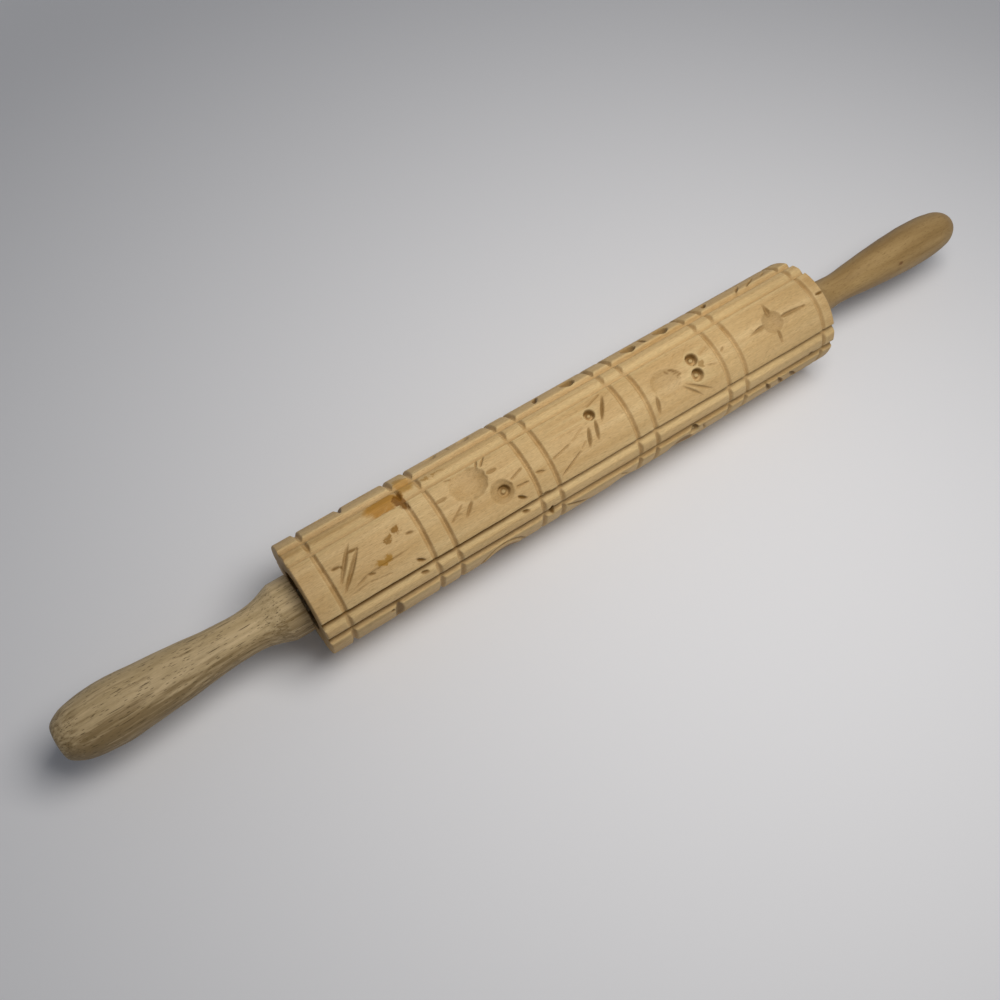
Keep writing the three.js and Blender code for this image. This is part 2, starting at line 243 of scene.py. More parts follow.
def grid_mesh(name, points, pole_start=None, pole_end=None):
    """A closed mesh from rings of points in mm, shape (rings, sides, 3).

    The rings close on themselves, or end in a pole point at each end."""
    rings, sides, _ = points.shape
    strip_count = rings if pole_start is None else rings - 1
    ring = np.arange(strip_count)[:, None]
    side = np.arange(sides)[None, :]
    following = (ring + 1) % rings
    beside = (side + 1) % sides
    quads = np.stack([
        np.broadcast_to(ring * sides + side, (strip_count, sides)),
        np.broadcast_to(following * sides + side, (strip_count, sides)),
        following * sides + beside,
        ring * sides + beside,
    ], axis=-1).reshape(-1, 4)
    vertices = points.reshape(-1, 3)
    triangles = np.zeros((0, 3), int)
    if pole_start is not None:
        vertices = np.vstack([vertices, pole_start, pole_end])
        first, last = rings * sides, rings * sides + 1
        around = np.arange(sides)
        after = (around + 1) % sides
        end_ring = (rings - 1) * sides
        triangles = np.vstack([
            np.stack([np.full(sides, first), around, after], axis=-1),
            np.stack([np.full(sides, last), end_ring + after, end_ring + around], axis=-1),
        ])
    mesh = bpy.data.meshes.new(name)
    loops = np.concatenate([quads.ravel(), triangles.ravel()])
    starts = np.concatenate([np.arange(len(quads)) * 4,
                             len(quads) * 4 + np.arange(len(triangles)) * 3])
    mesh.vertices.add(len(vertices))
    mesh.vertices.foreach_set("co", (vertices * MM).astype(np.float32).ravel())
    mesh.loops.add(len(loops))
    mesh.loops.foreach_set("vertex_index", loops.astype(np.int32))
    mesh.polygons.add(len(starts))
    mesh.polygons.foreach_set("loop_start", starts.astype(np.int32))
    mesh.update(calc_edges=True)
    mesh.validate()
    return mesh


def turn(name, profile, sides, mirror=1.0, start=0.0, wobble=None):
    """A turned mesh: the profile runs up the outside, so that the faces point out."""
    radii = np.array([radius for radius, place in profile])
    places = np.array([place for radius, place in profile])
    angles = np.linspace(0, 2 * math.pi, sides, endpoint=False)
    on_axis = radii[0] < 1e-9
    if on_axis:
        radii, places, poles = radii[1:-1], places[1:-1], (places[0], places[-1])
    radius = np.repeat(radii[:, None], sides, axis=1)
    if wobble is not None:
        radius = radius + wobble(places[:, None], angles[None, :])
    x = start + mirror * np.repeat(places[:, None], sides, axis=1)
    points = np.stack([x, -radius * np.sin(angles), axis_height + radius * np.cos(angles)], axis=-1)
    if mirror > 0:
        points = points[:, ::-1]
    if not on_axis:
        return grid_mesh(name, points)
    ends = [np.array([[start + mirror * place, 0, axis_height]]) for place in poles]
    return grid_mesh(name, points, *ends)


def smooth_curve(points, steps):
    """Points on a Catmull-Rom curve through the given points, as a spindle turner would ease them."""
    knots = np.array(points, float)
    padded = np.vstack([2 * knots[0] - knots[1], knots, 2 * knots[-1] - knots[-2]])
    curve = []
    for i in range(1, len(padded) - 2):
        before, here, there, after = padded[i - 1:i + 3]
        t = np.linspace(0, 1, steps, endpoint=False)[:, None]
        curve.append(0.5 * (2 * here + (there - before) * t
                            + (2 * before - 5 * here + 4 * there - after) * t ** 2
                            + (3 * here - before - 3 * there + after) * t ** 3))
    curve.append(knots[-1:])
    return [tuple(point) for point in np.vstack(curve)]


def rounded(corner, radius, entry, leave, steps=5):
    """Points of a quarter turn that rounds a corner: from the entry side to the leaving side."""
    (r, place), (er, ep), (lr, lp) = corner, entry, leave
    points = []
    for i in range(steps + 1):
        turn_angle = 0.5 * math.pi * i / steps
        back = radius * (1 - math.sin(turn_angle))
        on = radius * (1 - math.cos(turn_angle))
        points.append((r - er * back + lr * on, place - ep * back + lp * on))
    return points


# %% [markdown]
# ## Wood of the near handle
# The near handle is a pale, coarse hardwood such as rubberwood. Its pores are open, so they
# show as short dark dashes along the grain. A few long dark ones run through it too. Brown
# streaks crowd on the front side and at the end as painted shade, and the collar is painted
# paler as painted light. It is satin and a little grey from use.

# %% Rubberwood


def rubberwood():
    material, tree, shader, mm = new_material("rubberwood_turned")
    grain = add(tree, "Mapping", None, {"Vector": mm, "Scale": (0.02, 0.5, 0.5)}).outputs[0]
    drift = add(tree, "TexNoise", {"noise_dimensions": "3D"},
                {"Vector": grain, "Scale": 1.0, "Detail": 3.0, "Roughness": 0.55})
    tone = add(tree, "ValToRGB", None, {"Fac": drift.outputs["Fac"]})
    for stop, place, shade in zip(tone.color_ramp.elements, (0.32, 0.68), ("#a5906a", "#c0aa84")):
        stop.position, stop.color = place, linear(shade)

    # Brown streaks 1 to 2 mm wide. They crowd on the front side and at the end, where the extra dark is
    # painted shade.
    parts = add(tree, "SeparateXYZ", None, {0: mm})
    front_painted_shade = add(tree, "MapRange", smooth_step,
                {"Value": parts.outputs["Y"], "From Min": -4.0, "From Max": -11.0, "To Max": 0.24})
    tip_painted_shade = add(tree, "MapRange", smooth_step,
              {"Value": parts.outputs["X"], "From Min": -211.0, "From Max": -223.0, "To Max": 0.12})
    painted_shade_bias = add(tree, "Math", {"operation": "ADD"}, {0: front_painted_shade.outputs[0], 1: tip_painted_shade.outputs[0]})
    streak_place = add(tree, "Mapping", None, {"Vector": mm, "Scale": (0.022, 0.75, 0.75)})
    streak = add(tree, "TexNoise", None,
                 {"Vector": streak_place.outputs[0], "Scale": 1.0, "Detail": 4.0, "Roughness": 0.6})
    streak_and_painted_shade = add(tree, "Math", {"operation": "ADD"}, {0: streak.outputs["Fac"], 1: painted_shade_bias.outputs[0]})
    streak_and_shade_mask = add(tree, "MapRange", smooth_step,
                      {"Value": streak_and_painted_shade.outputs[0], "From Min": 0.5, "From Max": 0.8, "To Max": 0.75})
    streaked_and_shaded = add(tree, "Mix", of_colours,
                   {"Factor": streak_and_shade_mask.outputs[0], 6: tone.outputs[0], 7: linear("#705a34")})

    # Fibres: fine light and dark threads a few millimetres long.
    fibre_place = add(tree, "Mapping", None, {"Vector": mm, "Scale": (0.3, 4.0, 4.0)})
    fibre = add(tree, "TexNoise", None,
                {"Vector": fibre_place.outputs[0], "Scale": 1.0, "Detail": 3.0, "Roughness": 0.7})
    thread = add(tree, "MapRange", None,
                 {"Value": fibre.outputs["Fac"], "From Min": 0.3, "From Max": 0.7,
                  "To Min": 0.88, "To Max": 1.12})
    fibred = add(tree, "VectorMath", {"operation": "SCALE"},
                 {0: streaked_and_shaded.outputs[2], "Scale": thread.outputs[0]})

    # Long pores: 0.4 mm wide and about a centimetre long.
    long_place = add(tree, "Mapping", None, {"Vector": mm, "Scale": (0.05, 0.9, 0.9)})
    long_pores = add(tree, "TexVoronoi", {"feature": "F1"},
                     {"Vector": long_place.outputs[0], "Scale": 1.0, "Randomness": 1.0})
    long_open = add(tree, "MapRange", smooth_step,
                    {"Value": long_pores.outputs["Distance"], "From Min": 0.26, "From Max": 0.14})
    crowd = add(tree, "TexNoise", None, {"Vector": grain, "Scale": 2.2, "Detail": 2.0})
    broken = add(tree, "MapRange", smooth_step,
                 {"Value": crowd.outputs["Fac"], "From Min": 0.44, "From Max": 0.52})
    long_mask = add(tree, "Math", {"operation": "MULTIPLY"},
                    {0: long_open.outputs[0], 1: broken.outputs[0]})

    # Pores: 0.35 mm wide and about 2 mm long, in crowds.
    pore_place = add(tree, "Mapping", None, {"Vector": mm, "Scale": (0.3, 1.7, 1.7)})
    pores = add(tree, "TexVoronoi", {"feature": "F1"},
                {"Vector": pore_place.outputs[0], "Scale": 1.0, "Randomness": 1.0})
    open_pore = add(tree, "MapRange", smooth_step,
                    {"Value": pores.outputs["Distance"], "From Min": 0.32, "From Max": 0.16})
    crowded = add(tree, "MapRange", smooth_step,
                  {"Value": crowd.outputs["Fac"], "From Min": 0.36, "From Max": 0.56})
    short_mask = add(tree, "Math", {"operation": "MULTIPLY"},
                     {0: open_pore.outputs[0], 1: crowded.outputs[0]})
    pore_mask = add(tree, "Math", {"operation": "MAXIMUM"},
                    {0: short_mask.outputs[0], 1: long_mask.outputs[0]})
    pore_soft = add(tree, "Math", {"operation": "MULTIPLY"}, {0: pore_mask.outputs[0], 1: 0.75})
    pored = add(tree, "Mix", of_colours,
                {"Factor": pore_soft.outputs[0], 6: fibred.outputs[0], 7: linear("#4f3f22")})
    # The collar and the cove beside it are painted paler: painted light.
    collar_painted_light = add(tree, "MapRange", smooth_step,
                {"Value": parts.outputs["X"], "From Min": -172.0, "From Max": -140.0,
                 "To Min": 1.0, "To Max": 1.16})
    collar_lit_colour = add(tree, "VectorMath", {"operation": "SCALE"},
                  {0: pored.outputs[2], "Scale": collar_painted_light.outputs[0]})
    tree.links.new(collar_lit_colour.outputs[0], shader.inputs["Base Color"])

    relief = add(tree, "Math", {"operation": "SUBTRACT"},
                 {0: fibre.outputs["Fac"], 1: pore_mask.outputs[0]})
    bump = add(tree, "Bump", None,
               {"Height": relief.outputs[0], "Strength": 0.35, "Distance": 0.12 * MM})
    tree.links.new(bump.outputs[0], shader.inputs["Normal"])
    dull = add(tree, "MapRange", None,
               {"Value": fibre.outputs["Fac"], "To Min": 0.48, "To Max": 0.66})
    tree.links.new(dull.outputs[0], shader.inputs["Roughness"])
    shader.inputs["IOR"].default_value = 1.5
    shader.inputs["Specular IOR Level"].default_value = 0.3
    return material


rubberwood_material = rubberwood()
print("made", rubberwood_material.name)

# %% [markdown]
# ## Wood of the far handle
# The far handle is smoother and yellower, like beech that has darkened with age and hands.
# Its pores are too fine to see, so soft bands and fine ticks carry the grain. Its back is
# painted browner as painted shade, and one small reddish mark sits on the front.

# %% Aged beech


def aged_beech():
    material, tree, shader, mm = new_material("aged_beech_turned")
    band_place = add(tree, "Mapping", None, {"Vector": mm, "Scale": (0.03, 0.3, 0.3)})
    band = add(tree, "TexNoise", None,
               {"Vector": band_place.outputs[0], "Scale": 1.0, "Detail": 4.0, "Roughness": 0.55})
    tone = add(tree, "ValToRGB", None, {"Fac": band.outputs["Fac"]})
    for stop, place, shade in zip(tone.color_ramp.elements, (0.34, 0.66), ("#8f7346", "#a68a5b")):
        stop.position, stop.color = place, linear(shade)
    tick_place = add(tree, "Mapping", None, {"Vector": mm, "Scale": (0.45, 2.6, 2.6)})
    tick = add(tree, "TexNoise", None, {"Vector": tick_place.outputs[0], "Scale": 1.0, "Detail": 2.0})
    tick_mask = add(tree, "MapRange", smooth_step,
                    {"Value": tick.outputs["Fac"], "From Min": 0.54, "From Max": 0.7, "To Max": 0.6})
    ticked = add(tree, "Mix", of_colours,
                 {"Factor": tick_mask.outputs[0], 6: tone.outputs[0], 7: linear("#765b33")})
    parts = add(tree, "SeparateXYZ", None, {0: mm})
    # The back is painted browner: painted shade.
    back_painted_shade = add(tree, "MapRange", smooth_step,
                    {"Value": parts.outputs["Y"], "From Min": -1.0, "From Max": 9.0, "To Max": 0.6})
    back_shaded_colour = add(tree, "Mix", of_colours,
                 {"Factor": back_painted_shade.outputs[0], 6: ticked.outputs[2], 7: linear("#70552c")})
    from_mark = add(tree, "VectorMath", {"operation": "SUBTRACT"}, {0: mm, 1: (184.5, -8.3, 28.7)})
    mark_size = add(tree, "VectorMath", {"operation": "DIVIDE"},
                    {0: from_mark.outputs[0], 1: (1.6, 1.0, 1.0)})
    mark_out = add(tree, "VectorMath", {"operation": "LENGTH"}, {0: mark_size.outputs[0]})
    mark_mask = add(tree, "MapRange", smooth_step,
                    {"Value": mark_out.outputs["Value"], "From Min": 1.1, "From Max": 0.4, "To Max": 0.8})
    marked = add(tree, "Mix", of_colours,
                 {"Factor": mark_mask.outputs[0], 6: back_shaded_colour.outputs[2], 7: linear("#6b4523")})
    tree.links.new(marked.outputs[2], shader.inputs["Base Color"])
    bump = add(tree, "Bump", None,
               {"Height": tick.outputs["Fac"], "Strength": 0.2, "Distance": 0.08 * MM})
    tree.links.new(bump.outputs[0], shader.inputs["Normal"])
    shader.inputs["Roughness"].default_value = 0.5
    shader.inputs["IOR"].default_value = 1.5
    shader.inputs["Specular IOR Level"].default_value = 0.3
    return material


aged_beech_material = aged_beech()
print("made", aged_beech_material.name)

# %% [markdown]
# ## The two handles
# A handle has a short collar, a neck that the thumb closes on, a swell for the palm and a
# rounded end. The two are not twins: the near one is fatter. Each profile is a curve through
# a few places, given as shares of the handle's length and of the step from neck to swell.
# The near collar comes a millimetre closer to the roller, as narrow a gap as the photo shows.

# %% Handles
collar_length = 7.7
collar_edge = 0.6
rod_radius = (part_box("axle_rod")[1].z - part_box("axle_rod")[0].z) / MM / 2
glue_gap = 0.3
bore_depth = near_collar - reach("axle_rod")[0] + glue_gap
handle_sides = 144
near_shape = {
    "length": near_collar - near_tip, "closer": 1.0, "collar": 12.2, "neck": 8.5, "swell": 12.5, "end": 7,
    "grip_shares": [(0.095, 0.74), (0.114, 0.56), (0.146, 0.29), (0.184, 0.1), (0.25, 0), (0.378, 0.175),
                    (0.51, 0.51), (0.653, 0.81), (0.771, 1)],
    "tail_shares": [(0.854, 0.93), (0.896, 0.84), (0.938, 0.68), (0.967, 0.46), (0.99, 0.2), (1, 0)],
}
far_shape = {
    "length": far_tip - far_collar, "closer": 0, "collar": 9.9, "neck": 7.05, "swell": 10.2, "end": 3,
    "grip_shares": [(0.095, 0.57), (0.114, 0.35), (0.146, 0.15), (0.184, 0.04), (0.25, 0), (0.364, 0.33),
                    (0.5, 0.65), (0.633, 0.92), (0.729, 1)],
    "tail_shares": [(0.844, 0.94), (0.909, 0.83), (0.94, 0.73), (0.969, 0.54), (0.99, 0.3), (1, 0)],
}


def handle_profile(shape):
    """Radius and place along the handle, from the blind bore out, over the collar to the end."""
    bore = rod_radius + glue_gap
    length, closer = shape["length"], shape["closer"]
    grip = [(shape["neck"] + rise * (shape["swell"] - shape["neck"]), place * length + closer)
            for place, rise in shape["grip_shares"]]
    tail = [(shape["end"] + rise * (shape["swell"] - shape["end"]), place * length + closer)
            for place, rise in shape["tail_shares"]]
    cove = collar_length + closer
    return [
        (0, bore_depth + closer), (bore, bore_depth + closer), (bore, 0),
        *rounded((shape["collar"], 0), collar_edge, (1, 0), (0, 1)),
        (shape["collar"], cove * 0.5), (shape["collar"], cove - collar_edge),
        *smooth_curve([(shape["collar"] - collar_edge / 3, cove), *grip, *tail], 9),
        (0, length + closer),
    ]


def hand_sanded(places, angles):
    """A wave of a few hundredths of a millimetre, left by sanding by hand."""
    return (0.05 * np.sin(0.21 * places + 2 * angles) + 0.03 * np.sin(0.5 * places + 3 * angles + 1.7)) * (
        places > collar_length)


for name, shape, mirror, start, material, slot in (
        ("handle_near_turned", near_shape, -1, near_collar, rubberwood_material, "handle_rubberwood"),
        ("handle_far_turned", far_shape, 1, far_collar, aged_beech_material, "handle_beech")):
    face = start - mirror * shape["closer"]
    mesh = turn(name, handle_profile(shape), handle_sides, mirror, face, hand_sanded)
    node_name = name.replace("_turned", "")
    put_in_scene(mesh, name, "rod_and_handles", material, node_name)
    print(name, len(mesh.polygons), "faces")

# %% [markdown]
# ## The roller's pictures
# The carver first cut a frame: a pair of V grooves with a rail between them along the roller,
# four times round, and five pairs of rings. The frame leaves twenty small panels, and each
# holds a simple picture of knife cuts, scooped dishes and drilled eyes. Places are shares of
# a panel: u along it, and v across it from its upper edge. Widths are shares of its width.

# %% Frame of grooves
sector_count = 4
sector_angle = 2 * math.pi / sector_count
rail_width, rail_groove_width, rail_groove_depth = 3.4, 4.4, 2.1
ring_groove_width, ring_groove_depth = 2.6, 1.5
near_band, far_band, ring_spacing, last_panel = 9.7, 6.2, 9.3, 44.3
cad_radius = 24
panel_angle = sector_angle - (rail_width + 2 * rail_groove_width) / cad_radius
first_panel = panel_angle * 7 / 16
ring_count = 5
panel_length = (roller_length - near_band - far_band - last_panel
                - (ring_count - 1) * ring_spacing) / (ring_count - 1)
panels = [(near_band + i * (panel_length + ring_spacing), panel_length) for i in range(ring_count)]
panels[-1] = (panels[-1][0], last_panel)
panel_width = panel_angle * roller_radius
print("panels start at", [round(start, 1) for start, _ in panels], "and are", round(panel_width, 1), "wide")

# %% Pictures


# Each mark's darkening stands for dirt in nicks, and for dirt with painted shade in cuts, lines, dishes and
# eyes.
def cut(u0, v0, u1, v1, width, lean=0.0, belly=0.5, dirt_and_shade=0.5):
    """A leaf-shaped knife cut, widest at its belly. A lean makes one wall steeper."""
    return {"kind": "cut", "ends": (u0, v0, u1, v1), "width": width, "lean": lean,
            "belly": belly, "dirt_and_shade": dirt_and_shade}


def line(u0, v0, u1, v1, width=0.02, dirt_and_shade=0.6):
    """A thin scored line of even width."""
    return {"kind": "line", "ends": (u0, v0, u1, v1), "width": width, "dirt_and_shade": dirt_and_shade}


def nick(u0, v0, u1, v1, width=0.05, dirt_and_shade=1.0):
    """A short flat chisel mark, where dirt has settled."""
    return {"kind": "nick", "ends": (u0, v0, u1, v1), "width": width, "dirt_and_shade": dirt_and_shade}


def dish(u, v, along, across, deep=0.26, lean=0.0, flutes=0, dirt_and_shade=0.15):
    """A scooped bowl. A lean moves its deepest place along the roller. Flutes scallop its rim."""
    return {"kind": "dish", "at": (u, v), "half": (along, across), "deep": deep, "lean": lean,
            "flutes": flutes, "dirt_and_shade": dirt_and_shade}


def drill(u, v, radius):
    """An eye from a drill with a centre point: a round channel about a low pip."""
    return {"kind": "drill", "at": (u, v), "half": (radius, radius), "dirt_and_shade": 0.5}


def ring(u, v, radius):
    """A round scored line."""
    return {"kind": "ring", "at": (u, v), "half": (radius, radius), "dirt_and_shade": 0.5}


spray = [
    cut(0.08, 0.61, 0.35, 0.085, 0.085, 0.3), cut(0.07, 0.745, 0.4, 0.22, 0.09, -0.3),
    nick(0.27, 0.225, 0.385, 0.235, 0.045, 0.9), nick(0.375, 0.235, 0.395, 0.255, 0.04),
    nick(0.065, 0.335, 0.17, 0.35, 0.04), nick(0.165, 0.345, 0.175, 0.4, 0.04),
    cut(0.1, 0.785, 0.37, 0.65, 0.045, 0, 0.7), line(0.3, 0.665, 0.8, 0.64, 0.024),
    nick(0.34, 0.655, 0.43, 0.705, 0.035), cut(0.11, 0.81, 0.38, 0.765, 0.03),
    line(0.3, 0.768, 0.6, 0.835, 0.018), line(0.26, 0.56, 0.5, 0.42, 0.012, 0.3),
    line(0.5, 0.42, 0.8, 0.2, 0.012, 0.3), nick(0.84, 0.42, 0.935, 0.44, 0.035),
    nick(0.82, 0.835, 0.905, 0.925, 0.06), nick(0.81, 1.1, 0.9, 1.135, 0.05),
]
bird = [
    dish(0.4, 0.235, 0.32, 0.277, 0.38, 0.35, 13, 0.14), dish(0.653, 0.612, 0.2, 0.2, 0.3, 0.25, 0, 0.25),
    drill(0.68, 0.622, 0.105), line(0.77, 0.525, 0.96, 0.435, 0.03), line(0.79, 0.655, 0.96, 0.68, 0.03),
    nick(0.762, 0.53, 0.782, 0.6, 0.03), nick(0.77, 0.795, 0.86, 0.9, 0.06),
    nick(0.765, 1.1, 0.85, 1.14, 0.05),
    line(0.546, 0.09, 0.61, -0.05, 0.035), line(0.592, 0.106, 0.7, -0.05, 0.035),
    nick(0.6, 0.24, 0.73, 0.25, 0.06, 0.45), nick(0, 0.25, 0.15, 0.255, 0.055, 0.4),
    nick(0.2, 0, 0.3, 0.035, 0.03, 0.7), line(0.04, 0.655, 0.25, 0.45, 0.026),
    line(0.1, 0.575, 0.2, 0.59, 0.02), cut(0.205, 0.7, 0.36, 0.465, 0.07, 0.4),
    nick(1.045, 0.615, 1.15, 0.665, 0.05, 0.5), nick(1.02, 0.985, 1.13, 1.0, 0.04),
]
berry = [
    drill(0.625, 0.256, 0.092), line(0.632, 0.13, 0.876, 0.015, 0.028),
    cut(0.7, 0.46, 0.88, 0.06, 0.075, 0.4, 0.5, 0.75),
    cut(0.575, 0.7, 0.65, 0.35, 0.08, 0.3, 0.5, 0.65),
    cut(0.455, 0.735, 0.545, 0.41, 0.085, 0.3, 0.5, 0.65),
    line(0.01, 0.58, 0.3, 0.495, 0.03), line(0.29, 0.497, 0.5, 0.36, 0.02, 0.4),
    line(0.04, 0.9, 0.37, 0.67, 0.032), line(0.36, 0.675, 0.46, 0.575, 0.022, 0.4),
    line(0.18, 0.32, 0.42, 0.35, 0.012, 0.3), line(0.39, 0.2, 0.54, 0.24, 0.012, 0.3),
]
owl = [
    dish(0.305, 0.434, 0.28, 0.245, 0.24, -0.2, 15), line(0.36, 0.24, 0.4, 0.33, 0.026, 1.0),
    line(0.4, 0.26, 0.47, 0.32, 0.026, 1.0), line(0.42, 0.32, 0.5, 0.35, 0.026, 1.0),
    line(0.43, 0.37, 0.51, 0.38, 0.026, 1.0), line(0.45, 0.43, 0.52, 0.41, 0.026, 1.0),
    drill(0.704, 0.312, 0.107), drill(0.676, 0.582, 0.11), cut(0.135, 0.52, 0.085, 0.85, 0.085, 0.3),
    cut(0.44, 0.6, 0.657, 0.95, 0.055, 0.3), cut(0.48, 0.595, 0.8, 0.94, 0.055, 0.3),
    line(0.79, 0.32, 0.95, 0.235, 0.02, 0.4), cut(0.79, 0.51, 0.96, 0.585, 0.035),
    line(0.42, 0.25, 0.61, 0.04, 0.014, 0.3), line(0.59, 0.24, 0.79, 0, 0.014, 0.3),
    nick(1.04, 0.45, 1.11, 0.385, 0.035, 0.6),
]
bud = [
    dish(0.479, 0.449, 0.21, 0.2, 0.34, 0.3, 9, 0.25), dish(0.53, 0.39, 0.1, 0.11, 0.42, 0, 0, 0.3),
    dish(0.54, 0.51, 0.1, 0.09, 0.42, 0, 0, 0.3), cut(0.503, 0.02, 0.49, 0.36, 0.13, 0.3, 0.75),
    cut(0.49, 0.58, 0.483, 0.88, 0.075, 0.2, 0.4), cut(0.57, 0.45, 0.91, 0.487, 0.09, 0.4, 0.35),
    cut(0.13, 0.48, 0.4, 0.44, 0.09, 0.4, 0.75), nick(0.83, 0.475, 0.9, 0.485, 0.04, 0.7),
    nick(1.04, 0.42, 1.15, 0.43, 0.05),
]
fern = [
    cut(0.47, 0.93, 0.5, 0.31, 0.12, 0.3, 0.5, 0.8), line(0.49, 0.64, 0.51, 0.2),
    cut(0.2, 0.75, 0.42, 0.55, 0.09, 0.4), cut(0.78, 0.75, 0.56, 0.55, 0.09, -0.4),
    cut(0.22, 0.36, 0.44, 0.2, 0.08, 0.4), cut(0.76, 0.36, 0.56, 0.2, 0.08, -0.4),
]
flower = [
    drill(0.5, 0.46, 0.09), dish(0.7, 0.74, 0.11, 0.13), dish(0.3, 0.74, 0.11, 0.13),
    dish(0.7, 0.2, 0.11, 0.13), dish(0.3, 0.2, 0.11, 0.13), line(0.5, 0.6, 0.5, 0.9),
    line(0.62, 0.46, 0.86, 0.46), line(0.38, 0.46, 0.14, 0.46), line(0.5, 0.32, 0.5, 0.06),
]
acorn = [
    dish(0.735, 0.84, 0.135, 0.16, 0.45, 0.4, 0, 0.6), cut(0.3, 0.95, 0.4, 0.6, 0.12, 0.4, 0.5, 0.8),
    dish(0.5, 0.4, 0.24, 0.17), cut(0.12, 0.3, 0.24, 0.42, 0.06), cut(0.84, 0.5, 0.94, 0.2, 0.07),
    line(0.3, 0.6, 0.16, 0.7),
]
tulip = [
    dish(0.305, 0.85, 0.14, 0.16, 0.45, 0.4, 0, 0.6), dish(0.75, 0.85, 0.14, 0.16, 0.45, 0.4, 0, 0.6),
    cut(0.505, 0.98, 0.505, 0.68, 0.08, 0, 0.5, 0.8), dish(0.5, 0.36, 0.2, 0.2),
    cut(0.12, 0.2, 0.24, 0.45, 0.07), cut(0.88, 0.2, 0.76, 0.45, 0.07),
]
sheaf = [
    cut(0.085, 0.94, 0.165, 0.72, 0.11, 0, 0.5, 0.8), cut(0.45, 1.04, 0.57, 0.82, 0.065, 0, 0.5, 0.8),
    cut(0.58, 1.03, 0.78, 0.81, 0.06, 0, 0.5, 0.8), cut(0.81, 0.94, 0.92, 0.83, 0.05, 0, 0.5, 0.8),
    cut(0.5, 0.7, 0.5, 0.2, 0.08, 0.4), cut(0.3, 0.6, 0.42, 0.2, 0.07), cut(0.7, 0.6, 0.58, 0.2, 0.07),
]
twig = [
    cut(0.5, -0.17, 0.5, 0.55, 0.17, 0, 0.5, 0.6), nick(0.41, 0, 0.45, 0.04, 0.06),
    cut(0.66, 0.36, 0.86, 0.56, 0.09), drill(0.24, 0.8, 0.08), cut(0.5, 0.86, 0.78, 0.8, 0.06),
]
moon = [
    ring(0.495, 0.45, 0.42), dish(0.495, 0.45, 0.33, 0.33, 0.1, 0, 0, 0.7), nick(1.09, -0.2, 1.1, 0.03, 0.1),
    cut(0.06, 0.8, 0.2, 0.95, 0.07), cut(0.92, 0.8, 0.8, 0.95, 0.07),
]
reed = [
    cut(0.01, -0.02, 0.38, 0.34, 0.07, 0, 0.5, 0.8), line(0.73, 0.06, 0.86, 0.2, 0.03),
    dish(0.8, 0.5, 0.3, 0.26, 0.2), cut(0.3, 0.3, 0.5, 0.75, 0.08, 0.4), cut(0.2, 0.5, 0.3, 0.9, 0.06),
]
wing = [
    dish(0.355, 0.38, 0.27, 0.27, 0.16, 0.3, 0, 0.7), drill(0.505, 0.1, 0.1),
    cut(0.62, 0.04, 0.7, 0.32, 0.06),
    drill(0.78, 0.56, 0.1), cut(0.5, 0.76, 0.86, 0.84, 0.06), line(0.14, 0.78, 0.4, 0.84, 0.04),
]
ray = [
    cut(0.25, 0.01, 0.375, 0.36, 0.1, 0.3, 0.5, 0.8), cut(0.41, 0.04, 0.545, 0.38, 0.1, 0.3, 0.5, 0.8),
    cut(0.56, 0.06, 0.73, 0.4, 0.1, 0.3, 0.5, 0.8), nick(0.8, -0.12, 0.9, 0.01, 0.1),
    dish(0.42, 0.72, 0.26, 0.17),
]
sector_pictures = [
    [spray, bird, berry, owl, bud],
    [twig, moon, reed, wing, ray],
    [flower, spray, tulip, fern, acorn],
    [fern, flower, acorn, tulip, sheaf],
]
print(sum(len(picture) for row in sector_pictures for picture in row), "cuts in all")

# %% [markdown]
# ## Carving as a field of depths
# The roller's skin is a grid of points about 0.3 mm apart. Every groove and cut says how deep
# it goes at each point, and the deepest wins, just as a second knife stroke only shows where
# it goes below the first. One light blur rounds the edges as wear and flour do.

# %% Grid of the skin
grid_step = 0.3
rim_round = 0.7
rim_steps = 7
rim_places = rim_round * (1 - np.cos(np.linspace(0, math.pi / 2, rim_steps, endpoint=False)))
inner_places = np.linspace(rim_round, roller_length - rim_round,
                           int((roller_length - 2 * rim_round) / grid_step))
along = np.concatenate([rim_places, inner_places, roller_length - rim_places[::-1]])
side_count = 512
angles = np.linspace(0, 2 * math.pi, side_count, endpoint=False)
depth = np.zeros((len(along), side_count))
print("grid of", len(along), "by", side_count, "points")


def turn_from(angle):
    """Signed arc in mm from an angle to each column, the short way round."""
    return ((angles - angle + math.pi) % (2 * math.pi) - math.pi) * roller_radius


def slow_wave(places, seed):
    """A gentle wander within 1, for a line that a hand guided."""
    return (np.sin(places * 0.11 + seed) + 0.6 * np.sin(places * 0.29 + 2.3 * seed)
            + 0.3 * np.sin(places * 0.83 + 4.1 * seed)) / 1.9


def ease(values, low, high):
    """0 below low, 1 above high and a smooth step between."""
    t = np.clip((values - low) / (high - low), 0, 1)
    return t * t * (3 - 2 * t)


# %% Grooves of the frame
wander = 0.13
# the steep wall of a rail's groove takes this share of its width, on the panel's side
steep_share = 0.28
# how far a hand-guided groove strays in mm at the near and the far end, at each edge of a sector
strays = [
    ((-0.5, -0.6), (-0.95, 1.0)), ((-1.3, 1.7), (0.3, -0.3)),
    ((0.2, -0.2), (-0.3, 0.2)), ((0, 0.4), (0, 0)),
]
# how dark each rail groove's floor is painted at the two edges of a sector: dirt and painted shade
groove_dirt_and_shade = [(0.25, 1.0), (0.9, 0.6), (0.5, 0.6), (0.4, 0.3)]
